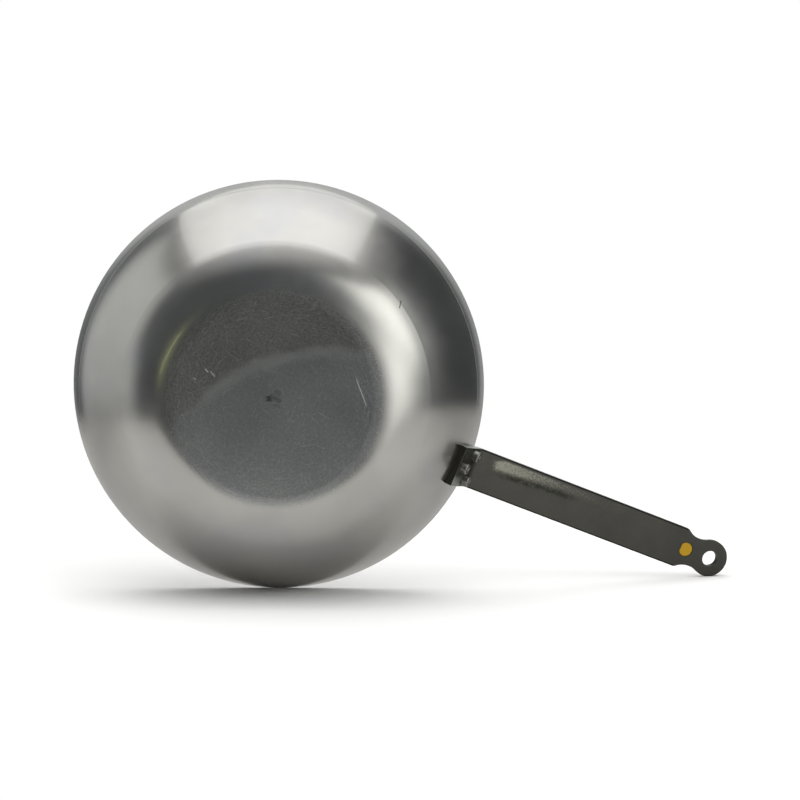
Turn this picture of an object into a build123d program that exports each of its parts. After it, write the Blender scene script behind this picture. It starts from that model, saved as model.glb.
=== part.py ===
from build123d import *
import math
import os

# Carbon steel wok with a flat base, a riveted strip handle and an inlaid button.
# The base stands on z = 0, the origin is its centre, and the handle leaves towards -Y.

# Bowl: one spun sheet with a flat base, a rounded knee and a wall that steepens to the rim,
# whose depth, base and knee are shares of the rim's diameter
rim_diameter = 320
depth_share = 0.2875
base_share = 0.46875
knee_share = 0.1875
knee_angle = 45
sheet_thickness = 2
rim_rounding = 0.8

# Handle: a steel strip whose foot follows the wall, with an outward bend and a necked eye,
# where the eye, the neck, its curve and its shoulders are shares of the strip's width
strip_width = 32.5
eye_share = 0.91
neck_share = 0.72
neck_curve_share = 0.566
shoulder_share = 0.092
strip_thickness = 5
strip_edge_rounding = 0.6
foot_start_drop = 9.5
foot_end_drop = 35.5
bend_radius = 8
handle_angle = 15
handle_length = 226.6
hanging_hole_diameter = 12.6

# Button: a flat-sided inlay that fills a window through the strip, its flat at a share of its radius
button_diameter = 11.8
button_flat_share = 0.78
button_to_eye = 22.6
button_edge = 0.5
button_clearance = 0.05

# Rivets: domed heads inside the bowl, upset ends outside, two near the rim and one below
rivet_diameter = 6
rivet_clearance = 0.05
rivet_head_diameter = 13
rivet_head_height = 2.6
rivet_head_edge = 0.6
rivet_end_diameter = 8.6
rivet_end_height = 5.2
rivet_end_rounding = 1
rivet_end_dimple_diameter = 4
rivet_end_dimple_depth = 0.6
upper_rivet_drop = 15.5
lower_rivet_drop = 29
rivet_spacing_share = 0.63

# Length by which a cutter or a hidden edge runs past the faces that it crosses
overrun = 1

rim_radius = rim_diameter / 2
bowl_depth = depth_share * rim_diameter
base_radius = base_share * rim_radius
knee_radius = knee_share * rim_diameter
half_width = strip_width / 2
eye_radius = eye_share * half_width
os.makedirs("parts", exist_ok=True)

# The bowl's outer face in section, with the distance from the axis across and the height up
with BuildLine() as outer_section:
    flat = Line((0, 0), (base_radius, 0))
    knee = JernArc(start=flat @ 1, tangent=flat % 1, radius=knee_radius, arc_size=knee_angle)
    wall = TangentArc(knee @ 1, (rim_radius, bowl_depth), tangent=knee % 1)
wall_turn = (wall % 0).get_angle(wall % 1)
past_rim = math.degrees(overrun / wall.radius)

# The upright plane through the handle's middle: its x runs outwards and its y upwards
side_plane = Plane(origin=(0, 0, 0), x_dir=(0, -1, 0), z_dir=(-1, 0, 0))


def wall_share(drop):
    """Place along the wall's arc, 0 at the knee and 1 at the rim, at a drop below the rim."""
    return 1 - drop / wall.length


def rivet_plane(drop, sideways):
    """Plane on the wall's outer face at a rivet, with its z pointing out of the bowl."""
    point = wall @ wall_share(drop)
    along = wall % wall_share(drop)
    outward = side_plane.from_local_coords((along.Y, -along.X, 0))
    seat = side_plane.from_local_coords((point.X, point.Y, sideways))
    return Plane(origin=seat, x_dir=side_plane.z_dir, z_dir=outward)


def wall_dip(sideways):
    """How far the wall curves back from a flat strip at this distance from the strip's middle."""
    return rim_radius - math.sqrt(rim_radius**2 - sideways**2)


def section_past_rim():
    """The bowl's outer face in section, run on past the rim, for the sketch that calls it."""
    add(flat)
    add(knee)
    return JernArc(start=knee @ 1, tangent=knee % 1, radius=wall.radius, arc_size=wall_turn + past_rim)


def flat_sided_disc(clearance):
    """The button's disc with one flat side towards the bowl, smaller all round by the clearance."""
    Circle(button_diameter / 2 - clearance)
    with Locations((clearance - button_flat_share * button_diameter / 2, 0)):
        Rectangle(
            button_diameter, button_diameter, align=(Align.MAX, Align.CENTER), mode=Mode.SUBTRACT
        )


def sphere_radius(diameter, depth):
    """Radius of the ball that leaves a dimple of this diameter and depth."""
    return ((diameter / 2) ** 2 + depth**2) / (2 * depth)


rivet_sideways = rivet_spacing_share * half_width
rivet_planes = {
    "rivet_left": rivet_plane(upper_rivet_drop, rivet_sideways),
    "rivet_right": rivet_plane(upper_rivet_drop, -rivet_sideways),
    "rivet_lower": rivet_plane(lower_rivet_drop, 0),
}
rivet_radius = rivet_diameter / 2
rivet_hole_reach = sheet_thickness + strip_thickness + overrun

# Bowl
with BuildPart() as bowl:
    with BuildSketch(Plane.XZ) as bowl_section:
        with BuildLine():
            section_past_rim()
            offset(amount=sheet_thickness, side=Side.LEFT)
        make_face()
        # The rim is trimmed level and its two corners are rounded
        with Locations((0, bowl_depth)):
            Rectangle(rim_diameter, bowl_depth, align=Align.MIN, mode=Mode.SUBTRACT)
        fillet(bowl_section.vertices().group_by(Axis.Y)[-1], radius=rim_rounding)
    revolve(axis=Axis.Z)
    with BuildSketch(*rivet_planes.values()):
        Circle(rivet_radius + rivet_clearance)
    extrude(amount=rivet_hole_reach, both=True, mode=Mode.SUBTRACT)
bowl.part.label = "bowl"
export_step(bowl.part, "parts/bowl.step")

# Everything inside the bowl's outer face, which shapes the back of the foot
with BuildPart() as bowl_outside:
    with BuildSketch(Plane.XZ):
        with BuildLine():
            past_rim_end = section_past_rim() @ 1
            Polyline(past_rim_end, (0, past_rim_end.Y), (0, 0))
        make_face()
    revolve(axis=Axis.Z)

# Handle in side view, along its back: the foot lies on the wall and the bend turns it outwards
foot_length = foot_end_drop - foot_start_drop
foot_turn = math.degrees(foot_length / wall.radius)
wall_slope = Vector(1, 0, 0).get_angle(wall % wall_share(foot_start_drop))
with BuildLine() as handle_back:
    foot = JernArc(
        start=wall @ wall_share(foot_end_drop),
        tangent=wall % wall_share(foot_end_drop),
        radius=wall.radius,
        arc_size=foot_turn,
    )
    bend = JernArc(
        start=foot @ 1,
        tangent=foot % 1,
        radius=bend_radius + strip_thickness,
        arc_size=handle_angle - wall_slope,
    )
# The foot is thickened past the wall's dip at the strip's edges, and the wall cuts it to shape
foot_pad = wall_dip(half_width) + 2 * strip_edge_rounding

# Plane on top of the blade where the bend ends, with its x along the handle and its z upwards
blade_along = side_plane.from_local_coords(bend % 1)
blade_plane = Plane(
    origin=side_plane.from_local_coords(bend @ 1),
    x_dir=blade_along,
    z_dir=side_plane.z_dir.cross(blade_along),
)

# The hollow shoulders are arcs that touch the eye and are narrowest at the neck
eye_along = handle_length - eye_radius
neck_radius = neck_curve_share * strip_width
neck_centre_side = neck_share * half_width + neck_radius
neck_centre_back = math.sqrt((neck_radius + eye_radius) ** 2 - neck_centre_side**2)
neck_centre_along = eye_along - neck_centre_back
neck_end = eye_along - neck_centre_back * eye_radius / (neck_radius + eye_radius)
shoulder_back = math.sqrt(neck_radius**2 - (neck_centre_side - half_width) ** 2)
shoulder_along = neck_centre_along - shoulder_back

# Handle
with BuildPart() as handle:
    with BuildSketch(side_plane):
        with BuildLine():
            add(handle_back.line)
            offset(amount=strip_thickness, side=Side.RIGHT)
        make_face()
        # The thickening starts inside the strip and runs on under the start of the bend
        for side, depth in ((Side.LEFT, foot_pad), (Side.RIGHT, strip_thickness / 2)):
            with BuildLine():
                JernArc(
                    start=foot @ 0,
                    tangent=foot % 0,
                    radius=wall.radius,
                    arc_size=foot_turn + past_rim,
                )
                offset(amount=depth, side=side)
            make_face()
    extrude(amount=half_width, both=True)
    with BuildSketch(blade_plane) as blade_outline:
        Rectangle(neck_end, strip_width, align=(Align.MIN, Align.CENTER))
        with Locations((neck_centre_along, neck_centre_side), (neck_centre_along, -neck_centre_side)):
            Circle(neck_radius, mode=Mode.SUBTRACT)
        with Locations((eye_along, 0)):
            Circle(eye_radius)
        shoulders = blade_outline.vertices().filter_by_position(
            Axis.X, shoulder_along - overrun, shoulder_along + overrun
        )
        fillet(shoulders, radius=shoulder_share * strip_width)
    extrude(amount=-strip_thickness)
    fillet(handle.edges(), radius=strip_edge_rounding)
    add(bowl_outside.part, mode=Mode.SUBTRACT)
    with BuildSketch(blade_plane):
        with Locations((eye_along, 0)):
            Circle(hanging_hole_diameter / 2)
        with Locations((eye_along - button_to_eye, 0)):
            flat_sided_disc(0)
    extrude(amount=strip_thickness + overrun, both=True, mode=Mode.SUBTRACT)
    with BuildSketch(*rivet_planes.values()):
        Circle(rivet_radius + rivet_clearance)
    extrude(amount=rivet_hole_reach, both=True, mode=Mode.SUBTRACT)
handle.part.label = "handle"
export_step(handle.part, "parts/handle.step")

# Button, level with both faces of the strip
with BuildPart() as button:
    with BuildSketch(blade_plane):
        with Locations((eye_along - button_to_eye, 0)):
            flat_sided_disc(button_clearance)
    extrude(amount=-strip_thickness)
    chamfer(button.faces().filter_by(blade_plane).edges(), length=button_edge)
button.part.label = "button"
export_step(button.part, "parts/button.step")

# Rivets: each head is formed against the bowl's inner face and each end is upset on the foot
end_top = strip_thickness + rivet_end_height
end_ball = sphere_radius(rivet_end_dimple_diameter, rivet_end_dimple_depth)
for name, seat in rivet_planes.items():
    sheet_back = -wall_dip(seat.origin.X) - sheet_thickness
    head_start = sheet_back - rivet_head_height
    head_shoulder = sheet_back - rivet_head_edge
    head_sink = sheet_back + sheet_thickness / 2
    with BuildPart() as rivet:
        with BuildSketch(Plane(origin=seat.origin, x_dir=seat.x_dir, z_dir=seat.x_dir.cross(seat.z_dir))):
            with BuildLine():
                dome = TangentArc(
                    (0, head_start), (rivet_head_diameter / 2, head_shoulder), tangent=(1, 0)
                )
                Polyline(
                    dome @ 1,
                    (rivet_head_diameter / 2, head_sink),
                    (rivet_radius, head_sink),
                    (rivet_radius, strip_thickness),
                    (rivet_end_diameter / 2, strip_thickness),
                    (rivet_end_diameter / 2, end_top),
                    (0, end_top),
                    dome @ 0,
                )
            make_face()
        revolve(axis=Axis(seat.origin, seat.z_dir))
        fillet(rivet.edges().sort_by(Axis(seat.origin, seat.z_dir))[-1], radius=rivet_end_rounding)
        with Locations(seat.offset(end_top - rivet_end_dimple_depth + end_ball)):
            Sphere(end_ball, mode=Mode.SUBTRACT)
        add(bowl.part, mode=Mode.SUBTRACT)
    rivet.part.label = name
    export_step(rivet.part, f"parts/{name}.step")
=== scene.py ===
import math
import bpy
from mathutils import Matrix, Vector


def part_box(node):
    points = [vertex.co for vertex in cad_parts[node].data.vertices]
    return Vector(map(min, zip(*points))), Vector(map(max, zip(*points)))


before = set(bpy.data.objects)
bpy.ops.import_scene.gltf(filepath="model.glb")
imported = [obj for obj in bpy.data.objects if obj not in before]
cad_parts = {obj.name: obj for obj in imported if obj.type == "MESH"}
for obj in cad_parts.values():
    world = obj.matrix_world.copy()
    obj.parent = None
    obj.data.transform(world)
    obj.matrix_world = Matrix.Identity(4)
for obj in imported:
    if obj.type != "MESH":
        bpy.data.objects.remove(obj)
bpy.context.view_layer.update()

# The frame is in metres: the bowl's base stands on z = 0, its axis is Z, and the handle leaves
# towards -Y. The picture looks at the outside of the bowl, which stands on its rim and on the
# tip of the handle, so the picture's floor leans in this frame. Lengths in the materials are in
# millimetres, and those of the camera, the floor and the lamps are in metres.
MM = 0.001
RIM_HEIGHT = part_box("bowl")[1].z
BOWL_MIDDLE = Vector((0, 0, RIM_HEIGHT / 2))
HANDLE_HALF_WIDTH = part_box("handle")[1].x / MM
WHITE = (1.0, 1.0, 1.0)

# Camera, for an image of 800 x 800 pixels, with angles in degrees. ROLL drops the handle below
# the picture's right, and RISE and TURN lead from the bowl's axis to the camera. The camera looks
# down at the floor by FLOOR_RISE, and FLOOR_LEAN brings both the rim and the handle's tip onto it
IMAGE_PIXELS = 800
SENSOR = 36.0
FOCAL_PIXELS = 3017
CAMERA_DISTANCE = 2.35
RIM_CENTRE_PIXEL = (278.9, 385.2)
ROLL = 22.97
RISE = 6.6
TURN = -0.2
FLOOR_RISE = 7.5
FLOOR_LEAN = 0.193


# Studio directions


def turned(first, second, degrees):
    """Two directions at right angles, turned in their plane, the second towards the first."""
    angle = math.radians(degrees)
    return (
        first * math.cos(angle) - second * math.sin(angle),
        second * math.cos(angle) + first * math.sin(angle),
    )


def camera_axes():
    """The picture's right, its up and the way back to the camera, as directions of the frame."""
    right, up = turned(Vector((0, -1, 0)), Vector((-1, 0, 0)), -ROLL)
    up, back = turned(up, Vector((0, 0, -1)), RISE)
    right, back = turned(right, back, TURN)
    return right, up, back


IMAGE_RIGHT, IMAGE_UP, IMAGE_BACK = camera_axes()
LEVEL_UP = turned(IMAGE_BACK, IMAGE_UP, FLOOR_RISE)[1]
STUDIO_RIGHT, STUDIO_UP = turned(IMAGE_RIGHT, LEVEL_UP, FLOOR_LEAN)
STUDIO_FRONT = STUDIO_RIGHT.cross(STUDIO_UP)


def studio_point(right, up, front):
    """A point of the frame that lies so far from the bowl's middle, in studio directions."""
    return BOWL_MIDDLE + STUDIO_RIGHT * right + STUDIO_UP * up + STUDIO_FRONT * front


def make_camera():
    """Puts the camera where the rim's centre falls on its pixel."""
    scale = CAMERA_DISTANCE / FOCAL_PIXELS
    across = (RIM_CENTRE_PIXEL[0] - IMAGE_PIXELS / 2) * scale
    above = (IMAGE_PIXELS / 2 - RIM_CENTRE_PIXEL[1]) * scale
    rim_centre = Vector((0, 0, RIM_HEIGHT))
    data = bpy.data.cameras.new("camera")
    data.sensor_width = SENSOR
    data.lens = SENSOR * FOCAL_PIXELS / IMAGE_PIXELS
    camera = bpy.data.objects.new("camera", data)
    place = rim_centre - IMAGE_RIGHT * across - IMAGE_UP * above + IMAGE_BACK * CAMERA_DISTANCE
    axes = Matrix((IMAGE_RIGHT, IMAGE_UP, IMAGE_BACK)).transposed().to_4x4()
    camera.matrix_world = Matrix.Translation(place) @ axes
    bpy.context.scene.collection.objects.link(camera)
    bpy.context.scene.camera = camera


# Shader building

# The colour sockets of a Mix node
MIX_SHARE = 0
MIX_FIRST = 6
MIX_SECOND = 7
MIX_RESULT = 2

# Spans of a noise between which a look changes: most of its surface lies in the wider one
NOISE_SPAN = (0.30, 0.70)
NOISE_CORE = (0.35, 0.65)


class Shader:
    """A node tree with short calls for the nodes that the materials use."""

    def __init__(self, owner):
        owner.use_nodes = True
        self.tree = owner.node_tree
        self.tree.nodes.clear()

    def node(self, kind, inputs=None, **settings):
        """Adds a node with these settings and inputs, which are values or other nodes' outputs."""
        made = self.tree.nodes.new(kind)
        for name, value in settings.items():
            setattr(made, name, value)
        for name, value in (inputs or {}).items():
            self.feed(made.inputs[name], value)
        return made

    def feed(self, socket, value):
        """Links an output to the socket, or sets the socket to a number, vector or colour."""
        if isinstance(value, bpy.types.NodeSocket):
            self.tree.links.new(value, socket)
        elif isinstance(value, Vector) or (isinstance(value, tuple) and socket.type == "VECTOR"):
            socket.default_value = tuple(value)
        elif isinstance(value, tuple):
            socket.default_value = (*value, 1.0)
        else:
            socket.default_value = value

    def math(self, operation, *values):
        return self.node("ShaderNodeMath", dict(enumerate(values)), operation=operation).outputs[0]

    def product(self, *values):
        """Several values multiplied."""
        result = values[0]
        for value in values[1:]:
            result = self.math("MULTIPLY", result, value)
        return result

    def strongest(self, *values):
        """The largest of several values."""
        result = values[0]
        for value in values[1:]:
            result = self.math("MAXIMUM", result, value)
        return result

    def vector(self, operation, *values):
        made = self.node("ShaderNodeVectorMath", dict(enumerate(values)), operation=operation)
        return made.outputs["Value" if operation in ("DOT_PRODUCT", "LENGTH") else "Vector"]

    def scaled(self, vector, amounts):
        return self.vector("MULTIPLY", vector, amounts)

    def parts(self, vector):
        """The x, y and z of a vector, or the red, green and blue of a colour."""
        return self.node("ShaderNodeSeparateXYZ", {"Vector": vector}).outputs

    def point(self, x, y=0.0):
        return self.node("ShaderNodeCombineXYZ", {"X": x, "Y": y}).outputs[0]

    def ramp(self, value, low, high, start=0.0, end=1.0):
        """Goes smoothly from start to end while the value goes from low to high."""
        return self.node(
            "ShaderNodeMapRange",
            {"Value": value, "From Min": low, "From Max": high, "To Min": start, "To Max": end},
            interpolation_type="SMOOTHSTEP",
        ).outputs["Result"]

    def band(self, value, outer, inner=0.0):
        """1 where the value is within inner of zero, and 0 where it is further than outer."""
        return self.ramp(self.math("ABSOLUTE", value), outer, inner)

    def noise(self, vector, scale, detail=2.0, roughness=0.5, output="Fac"):
        return self.node(
            "ShaderNodeTexNoise",
            {"Vector": vector, "Scale": scale, "Detail": detail, "Roughness": roughness},
        ).outputs[output]

    def wander(self, vector, noise, reach):
        """A noise that swings by this reach to both sides of zero."""
        return self.math("MULTIPLY_ADD", self.noise(vector, *noise), 2 * reach, -reach)

    def mix(self, share, first, second):
        """Goes from the first colour to the second as the share goes from 0 to 1."""
        made = self.node("ShaderNodeMix", data_type="RGBA")
        self.feed(made.inputs[MIX_SHARE], share)
        self.feed(made.inputs[MIX_FIRST], first)
        self.feed(made.inputs[MIX_SECOND], second)
        return made.outputs[MIX_RESULT]

    def position(self):
        """The point in millimetres of the frame."""
        place = self.node("ShaderNodeTexCoord").outputs["Object"]
        return self.scaled(place, (1 / MM,) * 3)

    def normal(self):
        return self.node("ShaderNodeNewGeometry").outputs["Normal"]

    def bump(self, height, depth, strength=1.0, under=None):
        """Raises the surface by this depth, in millimetres, for each 1 of the height."""
        inputs = {"Height": height, "Distance": depth * MM, "Strength": strength}
        if under is not None:
            inputs["Normal"] = under
        return self.node("ShaderNodeBump", inputs).outputs["Normal"]

    def surface(self, inputs):
        """Ends a material in one Principled surface."""
        main = self.node("ShaderNodeBsdfPrincipled", inputs)
        self.node("ShaderNodeOutputMaterial", {"Surface": main.outputs["BSDF"]})


def new_material(name):
    material = bpy.data.materials.new(name)
    return material, Shader(material)


# Steel of the bowl

STEEL_COLOUR = (0.390, 0.387, 0.372)
STEEL_PALE = (0.430, 0.427, 0.411)
STEEL_STAIN = (0.378, 0.380, 0.393)
BASE_WARM = (0.236, 0.234, 0.225)
BASE_COOL = (0.304, 0.315, 0.321)
SMEAR_COLOUR = (0.47, 0.475, 0.475)
SCRATCH_COLOUR = (0.80, 0.80, 0.78)
SPECK_COLOUR = (0.05, 0.045, 0.04)
SCAR_COLOUR = (0.10, 0.10, 0.105)
STEEL_ROUGHNESS = (0.21, 0.25)
BASE_ADDED_ROUGHNESS = (0.06, 0.15)
SCRATCH_ROUGHNESS = 0.55
OIL_SHARE = 0.8
OIL_ROUGHNESS = 0.07

# Noises: their scale, per millimetre, and where given their detail and roughness
STEEL_CLOUDS = (0.02, 3.0)
STEEL_GRAIN = (1.1, 3.0, 0.6)
STEEL_TURNING = (1.2, 3.0, 0.6)
STAIN_NOISE = (0.013, 4.0, 0.6)
MOTTLE_NOISE = (0.5, 4.0, 0.75)
SMEAR_NOISE = (0.06, 3.0)
SCAR_NOISE = (0.35, 3.0, 0.6)

# How deep the grain and the turning lines go, and how the stains and the mottle show. A turning
# line follows the height plus this share of the radius
GRAIN_DEPTH = 0.02
TURNING_DEPTH = 0.01
TURNING_STRENGTH = 0.6
TURNING_SLANT = 0.8
STAIN_STRETCH = (1.0, 1.0, 0.5)
STAIN_EDGE = (0.50, 0.66)
STAIN_STRENGTH = 0.7
MOTTLE_STRENGTH = 0.34

# The flat base: its worn part ends over a fade to both sides of the radius, and only the outer
# face, which is the lower one, is worn
BASE_RADIUS = 81.0
BASE_FADE = 4.0
OUTER_FACE_TOP = 1.5

# Scratches all over the base, and those along its circle, which grow stronger over a zone given
# in shares of its radius. A layer has the spacing, half length and half width of its scratches,
# its seed and, for those along the circle, how far they turn, as a share of a half turn
CROSSED_SCRATCHES = (
    (9.0, 6.0, 0.21, 3.0),
    (4.0, 2.5, 0.18, 17.0),
    (15.0, 10.0, 0.22, 41.0),
    (2.6, 1.6, 0.20, 67.0),
)
CIRCLE_SCRATCHES = (
    (2.6, 7.0, 0.20, 5.0, 0.08),
    (4.0, 10.0, 0.22, 23.0, 0.07),
)
CIRCLE_ZONE = (0.55, 0.85)
CIRCLE_STRENGTH = (0.15, 0.80)
FINE_STRENGTH = 0.6
SCRATCH_TAPER = 0.6
SCRATCH_DEPTH = 0.03

# Single marks, each from one point of the base or wall to another, seen along the axis
STROKE_TAPER = 0.8
LONG_SCRATCH = ((-38.6, -49.7), (-20.7, -66.5))
LONG_SCRATCH_HALF_WIDTH = 0.45
NICKS = (
    ((-0.7, 56.7), (1.1, 53.1)),
    ((-0.6, 52.4), (2.2, 47.4)),
    ((9.2, 62.1), (9.7, 59.5)),
)
NICK_HALF_WIDTH = 0.5
DARK_SCRATCH = ((-103.5, -59.2), (-97.6, -60.2))
DARK_SCRATCH_HALF_WIDTH = 0.8
SPECK_SPACING = 26.0
SPECK_SIZE = 0.7
SPECK_CORE = 0.4
SPECK_SHARE = 0.30
SPECK_STRENGTH = 0.8

# Strokes of the scar in the middle: two ends, half width and darkness
CENTRE_SCARS = (
    ((-0.9, 4.6), (0.4, -5.6), 3.0, 0.50),
    ((-0.6, 4.8), (3.6, 2.6), 4.2, 0.88),
    ((4.6, -0.5), (3.6, -6.8), 2.6, 0.30),
    ((-5.4, 2.5), (-4.6, -3.5), 4.2, 0.30),
)
SCAR_WARP = 1.2

# The pale swath across the base: it fades out at shares of its half length, and the warm grey
# starts over WARM_EDGE beside its middle line
SMEAR_ENDS = ((-54.3, -38.6), (19.6, 48.1))
SMEAR_BEND = 11.4
SMEAR_HALF_WIDTH = 8.0
SMEAR_CORE = 1.0
SMEAR_WANDER = 6.0
SMEAR_END_FADE = (1.35, 0.70)
SMEAR_STRENGTH = 0.6
WARM_EDGE = (-3.0, 5.0)

# The rim's border: a fine line round the wall and a slight slope outside it
RIM_LINE_RADIUS = 154.0
RIM_LINE_HALF_WIDTH = 0.5
RIM_LINE_DEPTH = 0.08
RIM_BORDER_SLOPE = 0.07


def scratches(shader, place, spacing, half_length, half_width, seed, spread=1.0):
    """Short straight scratches, one to a cell, turned by up to this share of a half turn."""
    shifted = shader.vector("ADD", place, (seed, -seed, seed))
    cells = shader.scaled(shifted, (1 / spacing,) * 3)
    voronoi = shader.node(
        "ShaderNodeTexVoronoi",
        {"Vector": cells, "Scale": 1.0, "Randomness": 1.0},
        voronoi_dimensions="2D",
        feature="F1",
    )
    x, y, _ = shader.parts(shader.vector("SUBTRACT", cells, voronoi.outputs["Position"]))
    turn_chance, length_chance, strength = shader.parts(voronoi.outputs["Color"])
    angle = shader.product(turn_chance, math.pi * spread)
    cosine, sine = shader.math("COSINE", angle), shader.math("SINE", angle)
    along = shader.math("ADD", shader.product(x, cosine), shader.product(y, sine))
    across = shader.math("SUBTRACT", shader.product(y, cosine), shader.product(x, sine))
    reach = shader.product(length_chance, half_length / spacing)
    in_length = shader.band(along, reach, shader.product(reach, SCRATCH_TAPER))
    in_width = shader.band(across, half_width / spacing)
    return shader.product(in_length, in_width, strength)


def line_places(shader, place, start, end):
    """Places along and across a line from its middle, and the line's half length."""
    first, last = Vector((*start, 0)), Vector((*end, 0))
    along = (last - first).normalized()
    across = Vector((-along.y, along.x, 0))
    apart = shader.vector("SUBTRACT", place, (first + last) / 2)
    return (
        shader.vector("DOT_PRODUCT", apart, along),
        shader.vector("DOT_PRODUCT", apart, across),
        (last - first).length / 2,
    )


def stroke(shader, place, start, end, half_width):
    """One straight mark between two points, seen along the axis."""
    lengthwise, sideways, half_length = line_places(shader, place, start, end)
    in_length = shader.band(lengthwise, half_length, half_length * STROKE_TAPER)
    return shader.product(in_length, shader.band(sideways, half_width))


def base_wear(shader, place, radius, x, y):
    """Pale scratches on the flat base, more of them and along the circle near its edge."""
    circle_place = shader.point(shader.product(shader.math("ARCTAN2", y, x), BASE_RADIUS), radius)
    zone = [BASE_RADIUS * share for share in CIRCLE_ZONE]
    near_edge = shader.ramp(radius, *zone, *CIRCLE_STRENGTH)
    crossed = [scratches(shader, place, *layer) for layer in CROSSED_SCRATCHES]
    circling = [scratches(shader, circle_place, *layer) for layer in CIRCLE_SCRATCHES]
    fine = shader.strongest(*crossed, shader.product(shader.strongest(*circling), near_edge))
    long = stroke(shader, place, *LONG_SCRATCH, LONG_SCRATCH_HALF_WIDTH)
    nicks = [stroke(shader, place, *nick, NICK_HALF_WIDTH) for nick in NICKS]
    return shader.strongest(shader.product(fine, FINE_STRENGTH), long, *nicks)


def base_smear(shader, place):
    """A faint pale swath that bends across the base, and the warmer grey on its upper side."""
    lengthwise, sideways, half_length = line_places(shader, place, *SMEAR_ENDS)
    share = shader.product(lengthwise, 1 / half_length)
    bend = shader.math("MULTIPLY_ADD", shader.product(share, share), -SMEAR_BEND, SMEAR_BEND)
    wander = shader.wander(place, SMEAR_NOISE, SMEAR_WANDER)
    swath = shader.math("ADD", shader.math("SUBTRACT", sideways, bend), wander)
    pale = shader.product(
        shader.band(swath, SMEAR_HALF_WIDTH, SMEAR_CORE), shader.band(share, *SMEAR_END_FADE)
    )
    return pale, shader.ramp(swath, *WARM_EDGE)


def centre_scar(shader, place):
    """The small dark scar that the spinning centre left in the base."""
    reach = Vector((SCAR_WARP, SCAR_WARP, 0))
    warp = shader.noise(place, *SCAR_NOISE, output="Color")
    bent = shader.vector("MULTIPLY_ADD", warp, reach * 2, shader.vector("SUBTRACT", place, reach))
    scars = [
        shader.product(stroke(shader, bent, start, end, half_width), darkness)
        for start, end, half_width, darkness in CENTRE_SCARS
    ]
    return shader.strongest(*scars)


def specks(shader, place):
    """Small dark dots, in some of the cells that the steel is divided into."""
    cells = shader.scaled(place, (1 / SPECK_SPACING,) * 3)
    voronoi = shader.node("ShaderNodeTexVoronoi", {"Vector": cells, "Scale": 1.0})
    chance = shader.parts(voronoi.outputs["Color"])[0]
    size = SPECK_SIZE / SPECK_SPACING
    dot = shader.ramp(voronoi.outputs["Distance"], size, size * SPECK_CORE)
    return shader.product(dot, shader.math("LESS_THAN", chance, SPECK_SHARE))


def wall_colour(shader, place, clouds):
    """A warm grey, paler in clouds and bluer in a few broad stains."""
    colour = shader.mix(shader.ramp(clouds, *NOISE_CORE), STEEL_COLOUR, STEEL_PALE)
    stain = shader.noise(shader.scaled(place, STAIN_STRETCH), *STAIN_NOISE)
    return shader.mix(shader.ramp(stain, *STAIN_EDGE, 0.0, STAIN_STRENGTH), colour, STEEL_STAIN)


def base_colour(shader, place):
    """A dark mottled grey, warmer on one side of a pale swath."""
    smear, warm = base_smear(shader, place)
    mottle = shader.ramp(shader.noise(place, *MOTTLE_NOISE), *NOISE_CORE, 0.0, MOTTLE_STRENGTH)
    colour = shader.mix(warm, BASE_COOL, BASE_WARM)
    colour = shader.mix(mottle, colour, SMEAR_COLOUR)
    return shader.mix(shader.product(smear, SMEAR_STRENGTH), colour, SMEAR_COLOUR)


def rim_relief(shader, radius, under):
    """The line round the wall near the rim, and the slope of the border outside it."""
    outside = shader.math("SUBTRACT", radius, RIM_LINE_RADIUS)
    line = shader.band(outside, RIM_LINE_HALF_WIDTH)
    normal = shader.bump(line, RIM_LINE_DEPTH, 1.0, under)
    return shader.bump(shader.math("MAXIMUM", outside, 0.0), -RIM_BORDER_SLOPE, 1.0, normal)


def bowl_steel():
    """Spun carbon steel: a satin shine, faint turning lines, a marked rim and a worn flat base."""
    material, shader = new_material("bowl_steel")
    place = shader.position()
    x, y, z = shader.parts(place)
    radius = shader.vector("LENGTH", shader.scaled(place, (1, 1, 0)))
    on_base = shader.product(
        shader.ramp(radius, BASE_RADIUS + BASE_FADE, BASE_RADIUS - BASE_FADE),
        shader.math("LESS_THAN", z, OUTER_FACE_TOP),
    )
    clouds = shader.noise(place, *STEEL_CLOUDS)
    grain = shader.noise(place, *STEEL_GRAIN)
    up_the_wall = shader.math("MULTIPLY_ADD", radius, TURNING_SLANT, z)
    turning = shader.noise(shader.point(up_the_wall), *STEEL_TURNING)
    lines = shader.product(on_base, base_wear(shader, place, radius, x, y))
    dark_scratch = stroke(shader, place, *DARK_SCRATCH, DARK_SCRATCH_HALF_WIDTH)
    dots = shader.strongest(specks(shader, place), dark_scratch)
    scar = shader.product(centre_scar(shader, place), on_base)
    colour = shader.mix(on_base, wall_colour(shader, place, clouds), base_colour(shader, place))
    colour = shader.mix(lines, colour, SCRATCH_COLOUR)
    colour = shader.mix(shader.product(dots, SPECK_STRENGTH), colour, SPECK_COLOUR)
    colour = shader.mix(scar, colour, SCAR_COLOUR)
    satin = shader.math(
        "ADD",
        shader.ramp(clouds, *NOISE_SPAN, *STEEL_ROUGHNESS),
        shader.product(on_base, shader.ramp(grain, *NOISE_SPAN, *BASE_ADDED_ROUGHNESS)),
    )
    normal = shader.bump(grain, GRAIN_DEPTH)
    normal = shader.bump(turning, TURNING_DEPTH, TURNING_STRENGTH, normal)
    normal = shader.bump(lines, SCRATCH_DEPTH, 1.0, normal)
    shader.surface(
        {
            "Base Color": colour,
            "Metallic": 1.0,
            "Roughness": shader.strongest(satin, shader.product(lines, SCRATCH_ROUGHNESS)),
            "Normal": rim_relief(shader, radius, normal),
            "Coat Weight": OIL_SHARE,
            "Coat Roughness": OIL_ROUGHNESS,
        }
    )
    return material


# Coating of the handle

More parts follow.
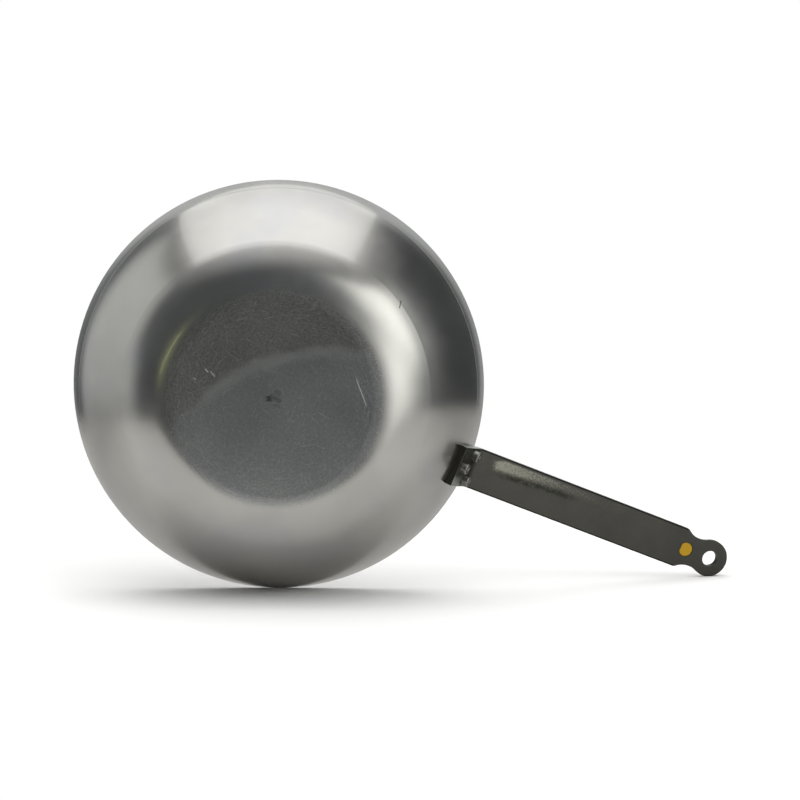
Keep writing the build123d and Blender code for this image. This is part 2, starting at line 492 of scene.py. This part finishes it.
HANDLE_COLOUR = (0.050, 0.050, 0.046)
HANDLE_PALE = (0.088, 0.087, 0.079)
# Painted sheen: the pale colour of the patch that stands in for a reflection of the studio's light
HANDLE_SHEEN = (0.30, 0.30, 0.255)
HANDLE_DARK = (0.026, 0.027, 0.021)
# Painted shade: near black for the blade's edges, sides and hole wall
HANDLE_EDGE_SHADE = (0.010, 0.010, 0.009)
# Painted highlight: pale steel for the sides of the bend and foot, where light falls on the strip's
# edge
HANDLE_BEND_HIGHLIGHT = (0.62, 0.62, 0.60)
# A paler grey for the foot's outer face, near its +X side
HANDLE_FOOT_GREY = (0.30, 0.31, 0.30)
HANDLE_ROUGHNESS = (0.30, 0.42)
HANDLE_CLOUDS = (0.05, 4.0)
HANDLE_GRAIN = (0.75, 4.0, 0.8)
HANDLE_GRAIN_COLOUR = 0.5
HANDLE_GRAIN_DEPTH = 0.05
HANDLE_GRAIN_STRENGTH = 0.8

# The blade rises by BLADE_SLOPE, in degrees, and places along it start at BLADE_START. The bend
# and the foot have places below zero
BLADE_START = 173.6
BLADE_SLOPE = math.radians(15.0)
BLADE_NORMAL = Vector((0, math.sin(BLADE_SLOPE), math.cos(BLADE_SLOPE)))
BLADE_FADE = (-5.6, -1.6)

# Painted shade on the edges of the blade, its sides and the wall of its hole: how square to it a
# face still is, and how near to its sides
EDGE_SQUARENESS = (0.97, 0.80)
EDGE_WIDTH = (1.3, 0.7)

# Pale steel painted as a highlight on the sides of the bend and foot, and a paler grey on the
# foot's outer face, by their place and by the way that their faces look
HIGHLIGHT_FACING = (0.5, 0.8)
FOOT_GREY_SIDE = (6.5, 10.5)
FOOT_GREY_START = (-7.6, -11.6)
FOOT_GREY_FACING = (0.0, -0.3)

# The patch of painted sheen, a pale grainy painted reflection of the studio's light: places along
# the blade, and inward from one of its sides. Its lower side runs from the first to the second
# width over PATCH_SPAN, and its start slants
PATCH_NOISE = (0.14, 3.0)
PATCH_WANDER = 1.2
PATCH_SPAN = (-3.0, 77.0)
PATCH_WIDTHS = (13.4, 9.2)
PATCH_SIDE_FADE = (1.4, 2.8)
PATCH_LOWER_FADE = (2.6, -4.0)
PATCH_START_FADE = (18.0, 28.0)
PATCH_START_SLANT = 2.4
PATCH_SLANT_WIDTH = 5.0
PATCH_END_FADE = (165.0, -10.0)
PATCH_GRAIN_GAIN = 0.34
PATCH_GRAIN = (0.60, 0.84)
PATCH_LEAST = 0.12

# The dark streak beside the patch's lower side
STREAK_NOISE = (0.3, 4.0, 0.7)
STREAK_NOISE_EDGE = (0.32, 0.60)
STREAK_OFFSET = 1.6
STREAK_WIDTH = (3.4, 0.4)
STREAK_START_FADE = (12.0, 30.0)
STREAK_END_FADE = (94.0, 70.0)
STREAK_STRENGTH = 0.8


def sheen_and_streak(shader, place, along, inward, grain):
    """The painted sheen, a pale grainy patch on the blade's outer face that stands in for a
    reflection of the studio's light, and the dark streak along its inner side.
    """
    wander = shader.wander(place, PATCH_NOISE, PATCH_WANDER)
    width = shader.ramp(along, *PATCH_SPAN, *PATCH_WIDTHS)
    below = shader.math("SUBTRACT", inward, shader.math("ADD", width, wander))
    slant = shader.math("MINIMUM", inward, PATCH_SLANT_WIDTH)
    start = shader.math("MULTIPLY_ADD", slant, PATCH_START_SLANT, shader.math("ADD", along, wander))
    patch = shader.product(
        shader.ramp(inward, *PATCH_SIDE_FADE),
        shader.ramp(below, *PATCH_LOWER_FADE),
        shader.ramp(start, *PATCH_START_FADE),
        shader.ramp(along, *PATCH_END_FADE),
    )
    # Painted sheen: the grain decides where the painted reflection shows
    sheen_grain = shader.math("MULTIPLY_ADD", patch, PATCH_GRAIN_GAIN, grain)
    pale = shader.product(patch, shader.ramp(sheen_grain, *PATCH_GRAIN, PATCH_LEAST, 1.0))
    streak = shader.product(
        shader.band(shader.math("SUBTRACT", below, STREAK_OFFSET), *STREAK_WIDTH),
        shader.ramp(shader.noise(place, *STREAK_NOISE), *STREAK_NOISE_EDGE),
        shader.ramp(along, *STREAK_START_FADE),
        shader.ramp(along, *STREAK_END_FADE),
    )
    return pale, streak


def painted_edge_shade(shader, normal, x, on_blade):
    """Painted shade on the blade's rounded edges, its sides and the wall of its hole, and on its
    narrow border.
    """
    squareness = shader.math("ABSOLUTE", shader.vector("DOT_PRODUCT", normal, BLADE_NORMAL))
    border = [HANDLE_HALF_WIDTH - width for width in EDGE_WIDTH]
    edge = shader.strongest(
        shader.ramp(squareness, *EDGE_SQUARENESS),
        shader.ramp(shader.math("ABSOLUTE", x), *border),
    )
    return shader.product(edge, on_blade)


def handle_coating():
    """Dark grey baked coating on steel: grainy, with a painted sheen along one side, painted shade
    at its edges and a painted highlight on the bend's sides.
    """
    material, shader = new_material("handle_coating")
    place = shader.position()
    normal = shader.normal()
    x, y, _ = shader.parts(place)
    normal_x, normal_y, normal_z = shader.parts(normal)
    along = shader.math("MULTIPLY_ADD", y, -1 / math.cos(BLADE_SLOPE), -BLADE_START)
    inward = shader.math("ADD", x, HANDLE_HALF_WIDTH)
    clouds = shader.noise(place, *HANDLE_CLOUDS)
    grain = shader.noise(place, *HANDLE_GRAIN)
    on_blade = shader.ramp(along, *BLADE_FADE)
    pale, streak = sheen_and_streak(shader, place, along, inward, grain)
    outside = shader.math("LESS_THAN", normal_z, 0.0)
    # Painted highlight on the side faces of the bend and foot
    bend_highlight = shader.product(
        shader.ramp(shader.math("ABSOLUTE", normal_x), *HIGHLIGHT_FACING),
        shader.math("SUBTRACT", 1.0, on_blade),
    )
    # A paler grey on the foot's outer face, near its +X side
    foot_grey = shader.product(
        shader.ramp(x, *FOOT_GREY_SIDE),
        shader.ramp(along, *FOOT_GREY_START),
        shader.ramp(normal_y, *FOOT_GREY_FACING),
    )
    grain_share = shader.ramp(grain, *NOISE_SPAN, 0.0, HANDLE_GRAIN_COLOUR)
    colour = shader.mix(clouds, HANDLE_COLOUR, HANDLE_PALE)
    colour = shader.mix(grain_share, colour, HANDLE_PALE)
    # Painted sheen: the pale patch stands in for a reflection of the studio's light
    colour = shader.mix(shader.product(pale, outside), colour, HANDLE_SHEEN)
    colour = shader.mix(shader.product(streak, outside, STREAK_STRENGTH), colour, HANDLE_DARK)
    # Painted shade on the blade's edges, sides and hole wall
    colour = shader.mix(painted_edge_shade(shader, normal, x, on_blade), colour, HANDLE_EDGE_SHADE)
    colour = shader.mix(foot_grey, colour, HANDLE_FOOT_GREY)
    # Painted highlight: pale steel on the sides of the bend and foot
    colour = shader.mix(bend_highlight, colour, HANDLE_BEND_HIGHLIGHT)
    shader.surface(
        {
            "Base Color": colour,
            "Metallic": 1.0,
            "Roughness": shader.ramp(grain, *NOISE_SPAN, *HANDLE_ROUGHNESS),
            "Normal": shader.bump(grain, HANDLE_GRAIN_DEPTH, HANDLE_GRAIN_STRENGTH),
        }
    )
    return material


# Steel of the rivets

RIVET_COLOUR = (0.15, 0.15, 0.14)
RIVET_PALE = (0.34, 0.34, 0.32)
RIVET_ROUGHNESS = (0.30, 0.46)
RIVET_GRAIN = (0.9, 4.0, 0.6)
RIVET_GRAIN_DEPTH = 0.12
RIVET_GRAIN_STRENGTH = 0.8


def rivet_steel():
    """Dull hammered steel."""
    material, shader = new_material("rivet_steel")
    grain = shader.noise(shader.position(), *RIVET_GRAIN)
    shader.surface(
        {
            "Base Color": shader.mix(shader.ramp(grain, *NOISE_CORE), RIVET_COLOUR, RIVET_PALE),
            "Metallic": 1.0,
            "Roughness": shader.ramp(grain, *NOISE_SPAN, *RIVET_ROUGHNESS),
            "Normal": shader.bump(grain, RIVET_GRAIN_DEPTH, RIVET_GRAIN_STRENGTH),
        }
    )
    return material


# Resin of the button, whose middle is a place along the blade and whose border is dark

RESIN_COLOUR = (0.47, 0.27, 0.007)
RESIN_PALE = (0.57, 0.335, 0.013)
RESIN_RIM = (0.24, 0.14, 0.015)
RESIN_ROUGHNESS = (0.30, 0.40)
RESIN_GLOSS = 0.25
RESIN_CLOUDS = (0.4, 3.0)
RESIN_GRAIN = (1.0, 2.0)
RESIN_GRAIN_DEPTH = 0.03
RESIN_GRAIN_STRENGTH = 0.5
BUTTON_ALONG = 189.2
BUTTON_RIM = (4.9, 5.7)


def button_resin():
    """Golden yellow resin, darker where it meets the steel."""
    material, shader = new_material("button_resin")
    place = shader.position()
    clouds = shader.noise(place, *RESIN_CLOUDS)
    grain = shader.noise(place, *RESIN_GRAIN)
    flat = shader.scaled(place, (1, 1 / math.cos(BLADE_SLOPE), 0))
    middle = Vector((0, -BLADE_START - BUTTON_ALONG, 0))
    from_middle = shader.vector("LENGTH", shader.vector("SUBTRACT", flat, middle))
    colour = shader.mix(clouds, RESIN_COLOUR, RESIN_PALE)
    shader.surface(
        {
            "Base Color": shader.mix(shader.ramp(from_middle, *BUTTON_RIM), colour, RESIN_RIM),
            "Specular IOR Level": RESIN_GLOSS,
            "Roughness": shader.ramp(clouds, *NOISE_SPAN, *RESIN_ROUGHNESS),
            "Normal": shader.bump(grain, RESIN_GRAIN_DEPTH, RESIN_GRAIN_STRENGTH),
        }
    )
    return material


def dress(node, material):
    """Gives a CAD node its material."""
    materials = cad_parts[node].data.materials
    materials.clear()
    materials.append(material)


# Floor: seen by the camera it is white and fades out round its middle. In reflections it dims
# towards the back, painted shade for the object's shadow there, fades out further away and ends
# in front of the object on a slanted edge

FLOOR_REACH = 1.2
FLOOR_MIDDLE_RIGHT = 0.1
FLOOR_FADE = (0.35, 0.75)
FLOOR_MIRRORED_FADE = (0.60, 1.00)
FLOOR_FRONT_FADE = (0.28, 0.42)
FLOOR_EDGE_SLANT = 0.4
# Painted shade: in reflections the floor darkens from FLOOR_FRONT_SHARE to FLOOR_BACK_SHARE over
# this span towards the back
FLOOR_DIMMING = (0.10, -0.22)
FLOOR_FRONT_SHARE = 0.80
FLOOR_BACK_SHARE = 0.47
FLOOR_SEEN_GAIN = 1.03
FLOOR_TINT = (1.0, 0.985, 0.955)


def lowest_point():
    """How far the object reaches down in the studio, from the bowl's middle."""
    return min(
        (vertex.co - BOWL_MIDDLE).dot(STUDIO_UP)
        for name in ("bowl", "handle")
        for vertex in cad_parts[name].data.vertices
    )


def floor_white(drop):
    """Matt white that only shows from above, for a floor that lies so far below the bowl."""
    material, shader = new_material("floor_white")
    geometry = shader.node("ShaderNodeNewGeometry")
    seen = shader.node("ShaderNodeLightPath").outputs["Is Camera Ray"]
    unseen = shader.math("SUBTRACT", 1.0, seen)
    middle = studio_point(FLOOR_MIDDLE_RIGHT, drop, 0)
    apart = shader.vector("SUBTRACT", geometry.outputs["Position"], middle)
    distance = shader.vector("LENGTH", apart)
    sideways = shader.math("ABSOLUTE", shader.vector("DOT_PRODUCT", apart, STUDIO_RIGHT))
    front = shader.vector("DOT_PRODUCT", apart, STUDIO_FRONT)
    slanted = shader.math("MULTIPLY_ADD", sideways, -FLOOR_EDGE_SLANT, front)
    mirrored_end = shader.strongest(
        shader.ramp(distance, *FLOOR_MIRRORED_FADE), shader.ramp(slanted, *FLOOR_FRONT_FADE)
    )
    gone = shader.strongest(
        geometry.outputs["Backfacing"],
        shader.product(seen, shader.ramp(distance, *FLOOR_FADE)),
        shader.product(unseen, mirrored_end),
    )
    # Painted shade: in reflections the floor darkens towards the back, for the object's shadow
    # there
    painted_floor_shade = shader.ramp(front, *FLOOR_DIMMING, FLOOR_FRONT_SHARE, FLOOR_BACK_SHARE)
    brightness = shader.math(
        "MULTIPLY_ADD", seen, FLOOR_SEEN_GAIN, shader.product(unseen, painted_floor_shade)
    )
    tinted = shader.scaled(shader.mix(seen, FLOOR_TINT, WHITE), brightness)
    white = shader.node("ShaderNodeBsdfDiffuse", {"Color": tinted})
    clear = shader.node("ShaderNodeBsdfTransparent")
    both = shader.node("ShaderNodeMixShader", {0: gone, 1: white.outputs[0], 2: clear.outputs[0]})
    shader.node("ShaderNodeOutputMaterial", {"Surface": both.outputs[0]})
    return material


def make_floor():
    """One flat square under the rim and the handle's tip."""
    drop = lowest_point()
    corners = [(-1, 1), (1, 1), (1, -1), (-1, -1)]
    points = [studio_point(x * FLOOR_REACH, drop, y * FLOOR_REACH) for x, y in corners]
    mesh = bpy.data.meshes.new("floor")
    mesh.from_pydata(points, [], [(0, 1, 2, 3)])
    mesh.materials.append(floor_white(drop))
    floor = bpy.data.objects.new("floor", mesh)
    bpy.context.scene.collection.objects.link(floor)


# World

# Light of the studio's walls by the angle round the upright, in degrees: 0 faces the camera,
# 90 is the picture's right, 180 is behind the object. LOW is level with the object, HIGH is
# seen upwards at 20 degrees
WALLS_LOW = (
    (-180, 0.66),
    (-158, 0.66),
    (-152, 0.12),
    (-141, 0.12),
    (-131, 0.66),
    (-78, 0.72),
    (-56, 0.16),
    (-40, 0.11),
    (0, 0.11),
    (9, 0.17),
    (19, 1.00),
    (29, 2.05),
    (41, 2.05),
    (52, 1.55),
    (62, 1.00),
    (74, 0.58),
    (90, 0.30),
    (104, 0.08),
    (142, 0.07),
    (151, 0.66),
    (180, 0.66),
)
WALLS_HIGH = (
    (-180, 0.66),
    (-153, 0.66),
    (-146, 0.20),
    (-138, 0.16),
    (-127, 0.80),
    (-90, 0.88),
    (-66, 0.18),
    (-40, 0.13),
    (0, 0.14),
    (10, 0.15),
    (22, 0.45),
    (36, 1.55),
    (50, 2.20),
    (64, 2.40),
    (75, 1.80),
    (86, 0.80),
    (96, 0.26),
    (108, 0.10),
    (142, 0.08),
    (151, 0.66),
    (180, 0.66),
)

# Shares of the walls' light at their foot, and the light at the edge and the middle of the
# ceiling. Each RISE is where one goes over into the next, as the sine of the angle upwards
WALLS_FOOT = 0.44
CEILING_EDGE = 0.27
CEILING_MIDDLE = 0.85
FOOT_RISE = (-0.36, 0.02)
HIGH_RISE = (0.0, 0.34)
EDGE_RISE = (0.60, 0.72)
MIDDLE_RISE = (0.68, 0.99)

# Colours of dim and of bright walls
DIM_TINT = (0.94, 1.0, 1.03)
LIT_TINT = (1.0, 0.995, 0.955)


def wall_light(shader, turn, walls):
    """The light of one table of walls, by the share of a full turn round the upright."""
    made = shader.node("ShaderNodeValToRGB", {"Fac": turn})
    ramp = made.color_ramp
    ramp.interpolation = "LINEAR"
    while len(ramp.elements) < len(walls):
        ramp.elements.new(0.5)
    for element, (degrees, light) in zip(ramp.elements, walls):
        element.position = degrees / 360 + 0.5
        share = min(1, light)
        tint = [dim + (lit - dim) * share for dim, lit in zip(DIM_TINT, LIT_TINT)]
        element.color = (*(light * part for part in tint), 1.0)
    return made.outputs["Color"]


def make_world():
    """White behind everything, and a studio of dark and light walls for what lights the object."""
    world = bpy.data.worlds.new("studio")
    bpy.context.scene.world = world
    shader = Shader(world)
    way = shader.node("ShaderNodeTexCoord").outputs["Generated"]
    right, up, front = (
        shader.vector("DOT_PRODUCT", way, axis) for axis in (STUDIO_RIGHT, STUDIO_UP, STUDIO_FRONT)
    )
    angle = shader.math("ARCTAN2", right, front)
    turn = shader.math("MULTIPLY_ADD", angle, 1 / (2 * math.pi), 0.5)
    low, high = (wall_light(shader, turn, walls) for walls in (WALLS_LOW, WALLS_HIGH))
    low = shader.scaled(low, shader.ramp(up, *FOOT_RISE, WALLS_FOOT, 1.0))
    studio = shader.mix(shader.ramp(up, *HIGH_RISE), low, high)
    studio = shader.mix(shader.ramp(up, *EDGE_RISE), studio, (CEILING_EDGE,) * 3)
    studio = shader.mix(shader.ramp(up, *MIDDLE_RISE), studio, (CEILING_MIDDLE,) * 3)
    seen = shader.node("ShaderNodeLightPath").outputs["Is Camera Ray"]
    light = shader.node("ShaderNodeBackground", {"Color": shader.mix(seen, studio, WHITE)})
    shader.node("ShaderNodeOutputWorld", {"Surface": light.outputs[0]})


# Lamps: places and targets are to the right, up and to the front of the bowl's middle, and
# radiance is the brightness of their surface

OVERHEAD_PLACE = (-0.06, 1.0, -0.46)
OVERHEAD_TARGET = (-0.06, 0.0, -0.46)
OVERHEAD_SIZE = (1.34, 1.31)
OVERHEAD_RADIANCE = 1.05
OVERHEAD_TINT = (1.0, 0.992, 0.965)

FILL_PLACE = (0.0, 1.05, 0.40)
FILL_TARGET = (0.0, 0.0, 0.05)
FILL_SIZE = (1.80, 1.20)
FILL_RADIANCE = 1.16

# The strip leans in its plane. Its turn is from the front towards the right, its rise is above
# the level, and both and the lean are in degrees
STRIP_AWAY = 1.3
STRIP_TURN = -26.5
STRIP_RISE = 4.5
STRIP_LEAN = -45.0
STRIP_SIZE = (0.015, 0.27)
STRIP_RADIANCE = 5.0
STRIP_TINT = (0.97, 1.0, 0.42)


def make_softbox(name, place, target, size, radiance, tint=WHITE, lean=0.0):
    """A rectangular lamp that faces the target, as bright as a surface of this radiance."""
    width, height = size
    data = bpy.data.lights.new(name, "AREA")
    data.shape = "RECTANGLE"
    data.size, data.size_y = width, height
    data.energy = radiance * math.pi * width * height
    data.color = tint
    lamp = bpy.data.objects.new(name, data)
    away = (place - target).normalized()
    side = STUDIO_RIGHT - away * STUDIO_RIGHT.dot(away)
    side.normalize()
    side = Matrix.Rotation(math.radians(lean), 3, away) @ side
    axes = Matrix((side, away.cross(side), away)).transposed().to_4x4()
    lamp.matrix_world = Matrix.Translation(place) @ axes
    lamp.visible_camera = False
    bpy.context.scene.collection.objects.link(lamp)
    return lamp


def strip_place():
    """Where the strip hangs, at its distance from the bowl's middle."""
    turn, rise = math.radians(STRIP_TURN), math.radians(STRIP_RISE)
    level = STRIP_AWAY * math.cos(rise)
    return studio_point(
        level * math.sin(turn), STRIP_AWAY * math.sin(rise), level * math.cos(turn)
    )


def make_lamps():
    """The large lamp overhead, a fill that nothing mirrors, and the narrow strip on the left."""
    make_softbox(
        "softbox_overhead",
        studio_point(*OVERHEAD_PLACE),
        studio_point(*OVERHEAD_TARGET),
        OVERHEAD_SIZE,
        OVERHEAD_RADIANCE,
        OVERHEAD_TINT,
    )
    fill = make_softbox(
        "fill_overhead",
        studio_point(*FILL_PLACE),
        studio_point(*FILL_TARGET),
        FILL_SIZE,
        FILL_RADIANCE,
    )
    fill.visible_glossy = False
    make_softbox(
        "strip_left",
        strip_place(),
        BOWL_MIDDLE,
        STRIP_SIZE,
        STRIP_RADIANCE,
        STRIP_TINT,
        STRIP_LEAN,
    )


# The scene

make_camera()
make_world()
make_lamps()
make_floor()
dress("bowl", bowl_steel())
dress("handle", handle_coating())
rivet_material = rivet_steel()
for rivet in ("rivet_left", "rivet_right", "rivet_lower"):
    dress(rivet, rivet_material)
dress("button", button_resin())

bpy.context.scene.view_settings.view_transform = "Standard"
